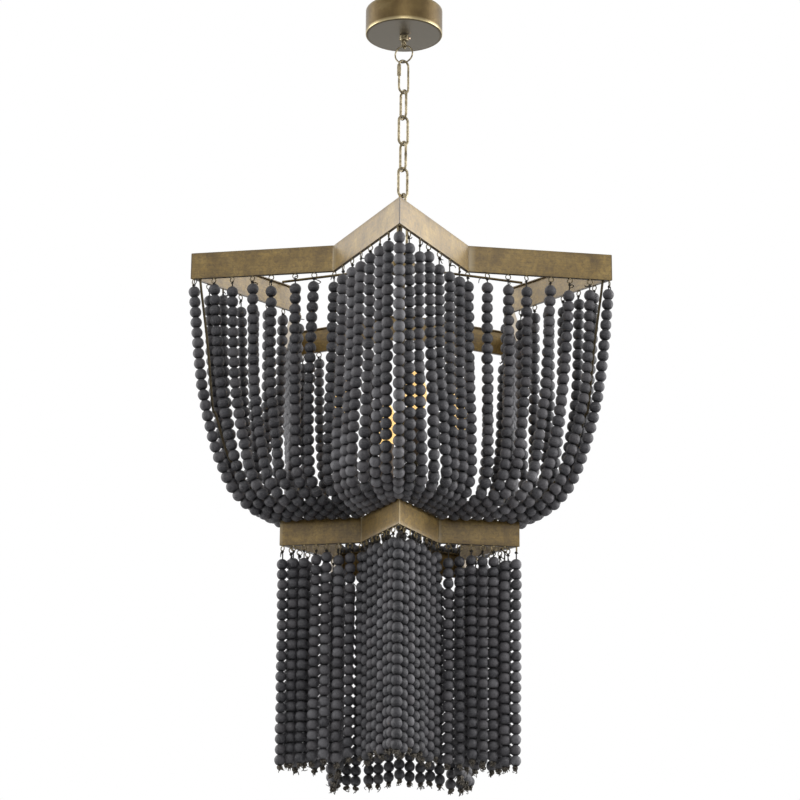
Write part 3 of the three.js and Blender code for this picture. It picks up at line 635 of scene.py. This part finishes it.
def quick_link():
    leg_top = QUICK_TOP - QUICK_HALF
    gap_top = leg_top - QUICK_GAP_DROP
    foot = QUICK_TOP - QUICK_HEIGHT + QUICK_HALF
    path = [place(QUICK_ANGLE, -QUICK_HALF, gap_top - QUICK_GAP)]
    path += [place(QUICK_ANGLE, -QUICK_HALF, z) for z in QUICK_LEFT_HEIGHTS]
    path += bow(QUICK_HALF, foot, QUICK_ANGLE, -1)
    path += [place(QUICK_ANGLE, QUICK_HALF, z) for z in QUICK_RIGHT_HEIGHTS]
    path += bow(QUICK_HALF, leg_top, QUICK_ANGLE, 1)
    path.append(place(QUICK_ANGLE, -QUICK_HALF, gap_top))
    form = Form()
    form.rod(path, QUICK_WIRE / 2, 14)
    form.object("quick_link_wire", "quick_link", "chain_brass", CHAIN, ["quick_link"])


def quick_nut():
    """A sleeve nut with six flats and chamfered ends."""
    form = Form()
    top = QUICK_TOP - QUICK_HALF
    foot = top - QUICK_NUT_LENGTH
    corner, bore = QUICK_NUT_DIAMETER / 2, QUICK_WIRE / 2 + GAP
    centre = place(QUICK_ANGLE, -QUICK_HALF, 0)
    flat = corner * math.cos(math.pi / 6)

    def row(z, limit):
        points = []
        for a in angles(36):
            to_flat = (a + math.pi / 6) % (math.pi / 3) - math.pi / 6
            points.append(centre + place(math.degrees(a), min(flat / math.cos(to_flat), limit), z))
        return points

    end = [(0.2, bore), (0, bore + 0.1), (0, flat - 0.7), (0.5, flat - 0.1), (1.2, corner)]
    rows = [row(top - deep, limit) for deep, limit in end]
    rows += [row(foot + deep, limit) for deep, limit in reversed(end)]
    form.skin(rows, closed=True)
    form.object("quick_nut_sleeve", "quick_nut", "chain_brass", CHAIN, ["quick_link_nut"])


def chain():
    for k in range(1, LINKS + 1):
        top = LINK_TOP - LINK_STEP * (k - 1)
        angle = ODD_ANGLE if k % 2 else EVEN_ANGLE
        high, low = top - LINK_HALF, top - LINK_HEIGHT + LINK_HALF
        half = LINK_WIRE / 2
        heights = [high + (low - high) * share for share in LEG_SHARES]
        upper, lower = bow(LINK_HALF, high, angle, 1), bow(LINK_HALF, low, angle, -1)
        left_leg = [place(angle, -LINK_HALF, z) for z in heights[::2]]
        right_leg = [place(angle, LINK_HALF, z) for z in reversed(heights)]
        radii = [half] * (len(upper) + len(left_leg) + len(lower))
        radii += [half + WELD.get(share, 0) for share in reversed(LEG_SHARES)]
        radii = [radius * chance.uniform(0.98, 1.02) for radius in radii]
        form = Form()
        form.rod(upper + left_leg + lower + right_leg, radii, 14, True)
        form.object(f"chain_oval_{k}", f"chain_{k}", "chain_brass", CHAIN, [f"chain_link_{k}"])


def ring():
    form = Form()
    form.rod(circle(RING_CENTRE, RING_RADIUS, RING_ANGLE, 56), RING_WIRE / 2, 12, True)
    form.object("loop_ring", "ring", "frame_brass", CHAIN, ["canopy_ring"])


def plug(radius, top, foot, upper, lower):
    """The profile of a solid round piece with a chamfer above and one below."""
    return [(0, top), (radius - upper, top), (radius, top - upper),
            (radius, foot + lower), (radius - lower, foot), (0, foot)]


def hub():
    """The eye at the foot of the chain, and the flange with its four spokes."""
    eye = Form()
    wire = circle(HUB_EYE_TOP - HUB_EYE_RADIUS, HUB_EYE_RADIUS, EVEN_ANGLE - 90)
    eye.rod(wire, HUB_EYE_WIRE / 2, 14, True)
    eye.turned(plug(NECK_RADIUS, HUB_TOP, FLANGE_TOP + GAP, 2, 1), 40)
    eye.object("hub_loop", "fixture", "frame_brass", BRASS, ["hub_eye"])
    form = Form()
    form.turned(plug(FLANGE_RADIUS, FLANGE_TOP, HUB_FOOT, 1.5, 1.5), 56)
    height = UPPER["top"] + GAP + SPOKE_RADIUS
    for corner, other, share in SPOKE_ENDS:
        end = star_corner(UPPER, corner, LIP / 2, height)
        end = end.lerp(star_corner(UPPER, other, LIP / 2, height), share)
        start = Vector((end.x, end.y, 0)).normalized() * (FLANGE_RADIUS - 2 * SPOKE_RADIUS)
        start.z = (FLANGE_TOP + HUB_FOOT) / 2
        form.rod([start.lerp(end, i / 8) for i in range(9)], SPOKE_RADIUS, 16)
    form.object("hub_spider", "fixture", "frame_brass", BRASS, ["hub"])


# Star bands and ribs

def corner_seam_and_highlight(star, side, share):
    """How dark and how pale a band is there: dark at tips, a pale painted highlight at notches and
    beside corners.
    """
    at_corner = share == 0
    at_tip = at_corner and side % 2 == 0
    by_upper_tip = star is UPPER and (side + round(share)) % 2 == 0
    dark = at_tip or (by_upper_tip and min(share, 1 - share) < DARK_REACH)
    pale = 0.0
    if at_corner and not at_tip:
        pale = NOTCH_HIGHLIGHT_PALE
    elif share == HIGHLIGHT_LINE and not by_upper_tip:
        pale = HIGHLIGHT_LINE_PALE
    return float(dark), pale


def band_section(top, foot):
    """The outline of a band's sheet, as insets and heights, and how dark each of its points is."""
    fold = [(FOLD_RADIUS - FOLD_RADIUS * math.cos(t), FOLD_RADIUS - FOLD_RADIUS * math.sin(t))
            for t in quarter(3)]
    levels = [top - FOLD_RADIUS - (top - foot - 2 * FOLD_RADIUS) * i / 6 for i in range(7)]
    section = [(x, top - z) for x, z in reversed(fold)] + [(0, z) for z in levels[1:-1]]
    section += [(x, foot + z) for x, z in fold]
    section += [(LIP, foot), (LIP, foot + SHEET), (SHEET, foot + SHEET),
                (SHEET, top - SHEET), (LIP, top - SHEET), (LIP, top)]
    outside = [1, 0.8, 0.5, 0.15] + [0] * 5 + [0.15, 0.5, 0.8, 1]
    return section, outside + [0.6, 0.4, 0.1, 0.1, 0.4, 0.6]


def star_band(tier, star):
    """An upright strip with rounded folds and turned-in lips, creased at each corner."""
    section, marks = band_section(star["top"], star["foot"])
    shares = [0, CREASE_RIM, HIGHLIGHT_LINE]
    shares += [FIRST_CUT + (1 - 2 * FIRST_CUT) * i / 12 for i in range(13)]
    shares += [1 - HIGHLIGHT_LINE, 1 - CREASE_RIM]
    rows, edges, tints = [], [], []
    for side in range(2 * POINTS):
        for share in shares:
            row = []
            for inset, height in section:
                sunk = inset + (CORNER_DENT if share == 0 and inset < SHEET else 0)
                start = star_corner(star, side, sunk, height)
                row.append(start.lerp(star_corner(star, side + 1, sunk, height), share))
            rows.append(row)
            dark, pale = corner_seam_and_highlight(star, side, share)
            edges.append([min(1.0, mark + dark) for mark in marks])
            # The pale tints are a painted highlight along the notch creases and beside the corners
            tints += [pale] * len(section)
    form = Form()
    form.skin(rows, closed=True, edges=edges)
    form.marks["tint"] = tints
    form.object(f"star_band_{tier}", "fixture", "band_brass", LEAF, [f"{tier}_star_band"], sharp=28)


def ribs():
    """Rods from inside the lips at the upper star's tips down to those of the lower star."""
    from_tip = (RIB_RADIUS + GAP) * UPPER["tip"] / side_distance(UPPER)
    top_radius = star_corner(UPPER, 0, LIP, 0).length - from_tip
    foot_radius = star_corner(LOWER, 0, LIP, 0).length + RIB_RADIUS
    top, foot = UPPER["top"] - RIB_DROP, LOWER["top"] + GAP
    for i in range(POINTS):
        angle = 270 + 2 * i * CORNER_STEP
        points = [
            place(angle, top_radius + (foot_radius - top_radius) * inward, top + (foot - top) * down)
            for inward, down in zip(RIB_IN, RIB_DOWN)
        ]
        form = Form()
        form.rod(smooth_path(points, 4), RIB_RADIUS, 12)
        form.object(f"rib_rod_{i + 1}", "fixture", "frame_brass", DARK, [f"rib_{i + 1}"])


# Strings of beads

def bead_template(rows=8, sides=14):
    """A bead of radius 1 and half length 1 about its bore. Its ends are flat and dished, with
    painted shade.
    """
    cut = math.radians(BEAD_CUT)
    # Painted shade: full in the bore and on the rim of each flat end, where beads touch, less on the
    # next row
    profile, edges = [(0, BORE_FLOOR), (BEAD_BORE, BORE_MOUTH)], [1.0, 1.0]
    for i in range(rows + 1):
        t = cut + (math.pi - 2 * cut) * i / rows
        profile.append((math.sin(t), math.cos(t) / math.cos(cut)))
        edges.append({0: 1.0, 1: 0.42}.get(min(i, rows - i), 0.0))
    profile += [(BEAD_BORE, -BORE_MOUTH), (0, -BORE_FLOOR)]
    bead = Form()
    bead.turned(profile, sides, edges=edges + [1.0, 1.0])
    return bead


BEAD = bead_template()


def string_shade():
    """How much paler, or darker below 0, all the beads of one string are."""
    return held(shades.gauss(0, 0.2), 0.4)


def drift(*spreads):
    """A step by chance, with a usual size for each direction."""
    return Vector([chance.gauss(0, spread) for spread in spreads])


def add_bead(form, centre, along, radius, length, shade):
    """One bead, by chance a little leaning, larger, flatter and of its own shade and grain."""
    spin = UP.rotation_difference(along).to_matrix()
    lean = Matrix.Rotation(math.radians(chance.gauss(0, BEAD_LEAN)), 3, "X")
    roll = Matrix.Rotation(chance.uniform(0, 2 * math.pi), 3, "Z")
    turn = spin @ lean @ roll
    size = radius * chance.uniform(0.975, 1.03)
    stretch = Vector((size, size * chance.uniform(0.985, 1.015), length / 2))
    own = Vector([chance.uniform(-500, 500) for _ in range(3)])
    grain = Matrix.Rotation(chance.choice((0.0, 0.0, 1.3, -1.2)), 3, "X")
    scaled = [p * stretch for p in BEAD.points]
    points = [centre + turn @ p for p in scaled]
    tint = min(max(0.2 + 0.6 * chance.random() + shade, 0.0), 1.0)
    own_points = [tuple(grain @ p + own) for p in scaled]
    form.add(points, BEAD.faces, tint, BEAD.marks["edge"], own_points)


def kept_in(point, reach):
    """The point, no further from the axis than the reach and not below the object's foot."""
    flat = Vector((point.x, point.y, 0))
    if flat.length > reach:
        flat *= reach / flat.length
    return Vector((flat.x, flat.y, max(point.z, LOWEST)))


def add_knot(form, centre, size, tails, reach, down=0.6, worn=0.0):
    """A lump of knotted cord with loose ends. Worn cord is pale, frayed and grey."""
    for _ in range(4 if worn else 3):
        offset = Vector([chance.uniform(-0.22, 0.22) * size for _ in range(3)])
        tilt = drift(1, 1, 1).normalized()
        across = tilt.orthogonal().normalized()
        loop = hoop(centre + offset, across, tilt.cross(across), size * 0.3, 10)
        form.rod(loop, size * chance.uniform(0.15, 0.21), 6, True, tint=worn)
    for _ in range(tails):
        way = (drift(1, 1, 0.6) - UP * down).normalized() * reach * chance.uniform(0.5, 1.0)
        bend = drift(0.2, 0.2, 0.2) * reach
        most = max(Vector((centre.x, centre.y, 0)).length + 2.0, 100.0)
        path = [kept_in(centre + way * t + bend * math.sin(math.pi * t), most)
                for t in (0, 0.25, 0.5, 0.75, 1)]
        thick = chance.uniform(0.55, 0.85) if worn else CORD_RADIUS * 0.85
        form.rod(path, [thick, thick, thick, thick * 0.9, thick * 0.7], 5, tint=worn)


def add_eyelet(form, star, n, height, side):
    """A wire ring on a pin at the edge of a band."""
    root = string_place(star, n, height, LIP * 0.5)
    centre = root + UP * side * EYELET_DROP
    turn = Matrix.Rotation(math.radians(chance.gauss(0, EYELET_TURN)), 3, "Z")
    wire = hoop(centre, turn @ side_direction(star, n), UP, EYELET_RADIUS, 20)
    form.rod(wire, EYELET_WIRE / 2, 8, True, edge=0.12)
    pin = [root, root + UP * side * 0.4, root + UP * side * 1.3]
    form.rod(pin, [1.5, 1.5, 1.0], 8, edge=0.8)


def course(n):
    """The course of upper string n, as points and their distances along it."""
    above = string_place(UPPER, n, UPPER["foot"] - GAP)
    below = string_place(LOWER, n, LOWER["top"] + GAP + 1.0)
    side = (n % STRINGS) // SPACES
    way = (star_corner(UPPER, side + 1, 0, 0) - star_corner(UPPER, side, 0, 0)).normalized()
    run = below - above
    run.z = 0
    forward = way * run.dot(way)
    square = run - forward
    tip = abs(1 - (n % (2 * SPACES)) / SPACES)
    if tip > COURSE_MIDDLE:
        ends, weight = TIP_COURSE, (tip - COURSE_MIDDLE) / (1 - COURSE_MIDDLE)
    else:
        ends, weight = NOTCH_COURSE, 1 - tip / COURSE_MIDDLE
    sway = way * held(chance.gauss(0, 3.0), 5.0) * (n % SPACES != 0)
    points = []
    for j, down in enumerate(COURSE_DOWN):
        first = MIDDLE_ALONG[j] + (ends[j] - MIDDLE_ALONG[j]) * weight
        second = MIDDLE_SQUARE[j] + (ends[j] - MIDDLE_SQUARE[j]) * weight
        spot = above + forward * first + square * second - UP * down * (above.z - below.z)
        points.append(spot + sway * math.sin(math.pi * down))
    path = smooth_path(points, 12)
    lengths = [0.0]
    for a, b in zip(path, path[1:]):
        lengths.append(lengths[-1] + (b - a).length)
    return path, lengths


def at_length(path, lengths, distance):
    """The point at a distance along a course, and the course's direction there."""
    i = int(np.searchsorted(lengths, distance))
    i = min(max(i, 1), len(path) - 1)
    share = (distance - lengths[i - 1]) / (lengths[i] - lengths[i - 1])
    return path[i - 1].lerp(path[i], share), (path[i] - path[i - 1]).normalized()


def upper_string(beads, cords, n):
    """Beads along a course between the two stars, with bare cord and a knot at its head."""
    path, lengths = course(n)
    total = lengths[-1]
    neck = UPPER_NECK + held(chance.gauss(0, 3.0), 5.0)
    room = total - neck - END_NECK - chance.uniform(0.0, 5.0)
    count = round(room / (UPPER_BEAD - BEAD_NEST))
    pitch = room / count
    shade = string_shade()

    def at(distance):
        return at_length(path, lengths, distance)[0]

    for i in range(count):
        centre, along = at_length(path, lengths, neck + pitch * (i + 0.5))
        centre += drift(BEAD_DRIFT, BEAD_DRIFT, BEAD_DRIFT)
        add_bead(beads, centre, along, UPPER_BEAD / 2, pitch * BEAD_FILL, shade)
    ring_foot = EYELET_DROP + EYELET_RADIUS - EYELET_WIRE / 2
    cords.rod([at(ring_foot - 0.6), at((ring_foot + neck) / 2), at(neck + 1)], CORD_RADIUS, 6)
    knot = at(ring_foot + 2.4)
    add_knot(cords, knot, KNOT_SIZE, chance.choice(HEAD_TAILS), chance.uniform(9, 18))
    last = neck + pitch * count
    cords.rod([at(last - 1), at(total - END_NECK / 2), at(total - 1)], CORD_RADIUS, 6)


def lower_string(beads, cords, n):
    """Beads that hang from the lower star, with a knot at their head and a frayed one below."""
    head = LOWER["foot"] - GAP
    spot = string_place(LOWER, n, 0)
    along = side_direction(LOWER, n)
    inward = UP.cross(along)
    sway = along * (1.6 * math.sin(n * 0.83) + held(chance.gauss(0, 0.7), 1.2))
    sway += inward * abs(held(chance.gauss(0, 2.4), 5.0))
    top = head - LOWER_NECK - chance.uniform(-5.5, 5.5)
    pitch = LOWER_PITCH * chance.uniform(0.99, 1.008)
    shade = string_shade()

    def at(z):
        return spot + UP * z + sway * min(1.0, (head - z) / SWAY_LENGTH)

    for i in range(LOWER_BEADS):
        centre = at(top - pitch * (i + 0.5)) + drift(BEAD_DRIFT, BEAD_DRIFT).to_3d()
        add_bead(beads, centre, UP, LOWER_BEAD / 2, pitch * BEAD_FILL, shade)
    ring_foot = head + GAP - EYELET_DROP - EYELET_RADIUS + EYELET_WIRE / 2
    cords.rod([at(ring_foot + 0.6), at((ring_foot + top) / 2), at(top - 1)], CORD_RADIUS, 6)
    knot = at(ring_foot - 2.4)
    add_knot(cords, knot, KNOT_SIZE, chance.choice(HEAD_TAILS), chance.uniform(8, 15))
    end = at(top - pitch * LOWER_BEADS - 2.6)
    add_knot(cords, end, END_KNOT_SIZE, chance.choice((4, 5, 6)), END_TAIL, 1.5, worn=1.0)


def string_group(add_string, tier, label, body, numbers):
    """The strings of one node, as a piece of beads and a piece of cords on its body."""
    beads, cords = Form(), Form()
    for n in numbers:
        add_string(beads, cords, n)
    node = f"{tier}_strings_{label}"
    beads.object(f"{tier}_beads_{label}", body, "beads", WOOD, [node], sharp=50)
    cords.object(f"{tier}_cords_{label}", body, "beads", CORD, sharp=60)


def upper_tier():
    for i in range(2 * POINTS):
        numbers = range(i * SPACES, (i + 1) * SPACES)
        string_group(upper_string, "upper", i + 1, "fixture", numbers)


def lower_tier():
    """Three groups at each point of the star: after its tip, before it, and at the notch."""
    for i in range(POINTS):
        tip = 2 * SPACES * i
        for word, first, end in GROUPS:
            label, numbers = f"{word}_{i + 1}", range(tip + first, tip + end)
            string_group(lower_string, "lower", label, f"curtain_{label}", numbers)


def eyelets():
    """Rows of wire rings above (side 1) or below (side -1) an edge of a band."""
    rows = (("upper", UPPER, "foot", -1, DARK), ("lower", LOWER, "top", 1, DARK),
            ("lower", LOWER, "foot", -1, BRASS))
    for tier, star, edge, side, material in rows:
        form = Form()
        for n in range(STRINGS):
            add_eyelet(form, star, n, star[edge], side)
        form.object(f"{tier}_{edge}_eyelets", "fixture", "frame_brass", material)


# Lamps

def lamp_angle(i):
    return FIRST_LAMP + 360 * i / LAMPS


def stem_and_cup():
    """The stem, the cup on it with its four arms, and the finial below."""
    stem = Form()
    top, foot = HUB_FOOT - GAP, CUP_RIM - CUP_HEIGHT
    stem.turned([(STEM_BORE, top), (STEM_RADIUS - 0.5, top), (STEM_RADIUS, top - 0.5),
                 (STEM_RADIUS, foot + 0.5), (STEM_RADIUS - 0.5, foot), (STEM_BORE, foot),
                 (STEM_BORE, top)], 36)
    stem.object("stem_tube", "fixture", "frame_brass", DARK, ["centre_stem"])
    cup = Form()
    hole, middle = STEM_RADIUS + GAP, CUP_RIM - CUP_HEIGHT / 2
    outer = [(CUP_RADIUS, CUP_RIM - 0.5), (CUP_RADIUS, middle + 4), (CUP_RADIUS - 0.8, middle - 1),
             (CUP_RADIUS - 4, middle - 7), (hole + 5, foot + 3), (hole + 2, foot), (hole, foot)]
    inner = [(hole, foot + CUP_WALL), (hole + 3.4, foot + 4.6), (CUP_RADIUS - 5.6, middle - 5.6),
             (CUP_RADIUS - 2.6, middle), (CUP_RADIUS - CUP_WALL, middle + 4),
             (CUP_RADIUS - CUP_WALL, CUP_RIM - 0.5), (CUP_RADIUS - 1, CUP_RIM)]
    cup.turned(outer + inner + [outer[0]], 56)
    start = CUP_RIM - ARM_DROP
    reach = CUP_RADIUS - CUP_WALL
    span = LAMP_RADIUS - reach
    arm = [(reach, start), (reach + span / 4, start - ARM_SAG),
           (reach + span / 2, start - ARM_SAG), (reach + span * 0.8, start),
           (LAMP_RADIUS, (start + SLEEVE_FOOT) / 2), (LAMP_RADIUS, SLEEVE_FOOT - GAP)]
    for i in range(LAMPS):
        points = [place(lamp_angle(i), *spot) for spot in arm]
        cup.rod(smooth_path(points, 6), ARM_RADIUS, 16)
    cup.object("lamp_cup_and_arms", "fixture", "frame_brass", DARK, ["lamp_cup"])
    finial = Form()
    top = foot - GAP
    finial.turned([(radius, top - drop) for radius, drop in FINIAL], 40)
    finial.object("cup_finial", "fixture", "frame_brass", BRASS, ["stem_finial"])


def lamp(i):
    """A sleeve with its socket, and a bulb: glass on a threaded steel cap."""
    centre = place(lamp_angle(i), LAMP_RADIUS, 0)
    sleeve = Form()
    inner, seat = SLEEVE_RADIUS - SLEEVE_WALL, SLEEVE_TOP - SOCKET_SEAT
    profile = [(0, SLEEVE_FOOT), (SLEEVE_RADIUS - 0.6, SLEEVE_FOOT),
               (SLEEVE_RADIUS, SLEEVE_FOOT + 0.6), (SLEEVE_RADIUS, SLEEVE_TOP - 0.5),
               (SLEEVE_RADIUS - 0.5, SLEEVE_TOP), (inner, SLEEVE_TOP), (inner, seat),
               (SOCKET_RADIUS, seat), (SOCKET_RADIUS, seat - SOCKET_DEPTH),
               (0, seat - SOCKET_DEPTH)]
    # The inside of the mouth and the socket are marked for painted shade
    sleeve.turned(profile, 40, centre, edges=[0] * 6 + [1] * 4)
    sleeve.object(f"candle_tube_{i + 1}", "fixture", "candle_sleeve", CANDLE,
                  [f"candle_sleeve_{i + 1}"])
    bulb = Form()
    base = BULB_SEAT - BULB_CAP_LENGTH
    cap = [(0, base), (BULB_CAP - 1.5, base), (BULB_CAP, base + 1.5)]
    for turn in range(THREADS):
        rise = THREAD_STEP * turn
        cap += [(BULB_CAP, base + 3 + rise), (BULB_CAP - 0.6, base + 4.2 + rise)]
    cap += [(BULB_CAP, BULB_SEAT - 1.2), (BULB_CAP, BULB_SEAT)]
    glass = [(BULB_FOOT_RADIUS, BULB_SEAT)]
    glass += [(share * BULB_RADIUS, BULB_SEAT + z) for share, z in BULB_GLASS]
    bulb.turned(cap + glass, 40, centre)
    thing = bulb.object(f"lamp_{i + 1}", f"lamp_bulb_{i + 1}", "lamp_glass", GLASS,
                        [f"bulb_{i + 1}"])
    thing.data.materials.append(STEEL)
    for face in thing.data.polygons:
        if face.center.z < (BULB_SEAT - 0.5) * MM:
            face.material_index = 1


canopy()
canopy_loop()
set_screw()
ring()
quick_link()
quick_nut()
chain()
hub()
star_band("upper", UPPER)
star_band("lower", LOWER)
ribs()
eyelets()
upper_tier()
lower_tier()
stem_and_cup()
for number in range(LAMPS):
    lamp(number)


# Camera, floor, backdrop and light

def camera():
    """At the photograph's place: below the object and looking up at it."""
    focal_px, width_px, shift_px, sensor = 2621.5, 800, -1.13, 36.0
    distance, drop, turn, pitch, roll = 3.9486, 1.9413, 0.0123, 17.75, 0.0078
    data = bpy.data.cameras.new("camera")
    data.sensor_width = sensor
    data.lens = focal_px / width_px * sensor
    data.shift_x = shift_px / width_px
    data.clip_start, data.clip_end = 0.1, 60
    thing = put("camera", data)
    around = Matrix.Rotation(turn, 4, "Z")
    tilt = Matrix.Rotation(math.radians(90 + pitch), 4, "X")
    thing.matrix_world = (around @ Matrix.Translation((0, -distance, -drop)) @ tilt
                          @ Matrix.Rotation(roll, 4, "Z"))
    bpy.context.scene.camera = thing


def area_light(name, spot, size, power):
    data = bpy.data.lights.new(name, "AREA")
    data.shape, data.size, data.size_y = "RECTANGLE", size[0], size[1]
    data.energy = power
    thing = put(name, data)
    thing.location = spot
    towards = Vector(LIT_POINT) - thing.location
    thing.rotation_euler = towards.to_track_quat("-Z", "Y").to_euler()


def white_where_seen(tree):
    """A shader for the world that is white to the camera, in mirrors and through glass."""
    path = tree.nodes.new("ShaderNodeLightPath")
    seen = path.outputs["Is Camera Ray"]
    for ray in ("Is Glossy Ray", "Is Transmission Ray"):
        most = tree.nodes.new("ShaderNodeMath")
        most.operation = "MAXIMUM"
        tree.links.new(seen, most.inputs[0])
        tree.links.new(path.outputs[ray], most.inputs[1])
        seen = most.outputs[0]
    mix = tree.nodes.new("ShaderNodeMixShader")
    tree.links.new(seen, mix.inputs[0])
    for socket, tint, strength in ((1, SKY_TINT, SKY_STRENGTH), (2, (1, 1, 1), 1)):
        light = tree.nodes.new("ShaderNodeBackground")
        light.inputs["Color"].default_value = (*tint, 1)
        light.inputs["Strength"].default_value = strength
        tree.links.new(light.outputs[0], mix.inputs[socket])
    return mix.outputs[0]


def studio():
    world = bpy.data.worlds.new("studio")
    bpy.context.scene.world = world
    world.use_nodes = True
    tree = world.node_tree
    tree.links.new(white_where_seen(tree), tree.nodes["World Output"].inputs["Surface"])
    for light in LIGHTS:
        area_light(*light)
    mesh = bpy.data.meshes.new("floor")
    corners = [(x * FLOOR_HALF, y * FLOOR_HALF, FLOOR_HEIGHT)
               for x, y in ((-1, -1), (1, -1), (1, 1), (-1, 1))]
    mesh.from_pydata(corners, [], [(0, 1, 2, 3)])
    floor = put("floor", mesh)
    p = Paint("floor_paint")
    speck = p.noise(p.where(), 4, 2, 0.5)
    mesh.materials.append(p.finish(p.ramp(speck, (0.3, 0.8), (0.7, 0.84)), 0.6, speck, 0.02, 0.001))


camera()
studio()
bpy.context.scene.view_settings.view_transform = "Standard"
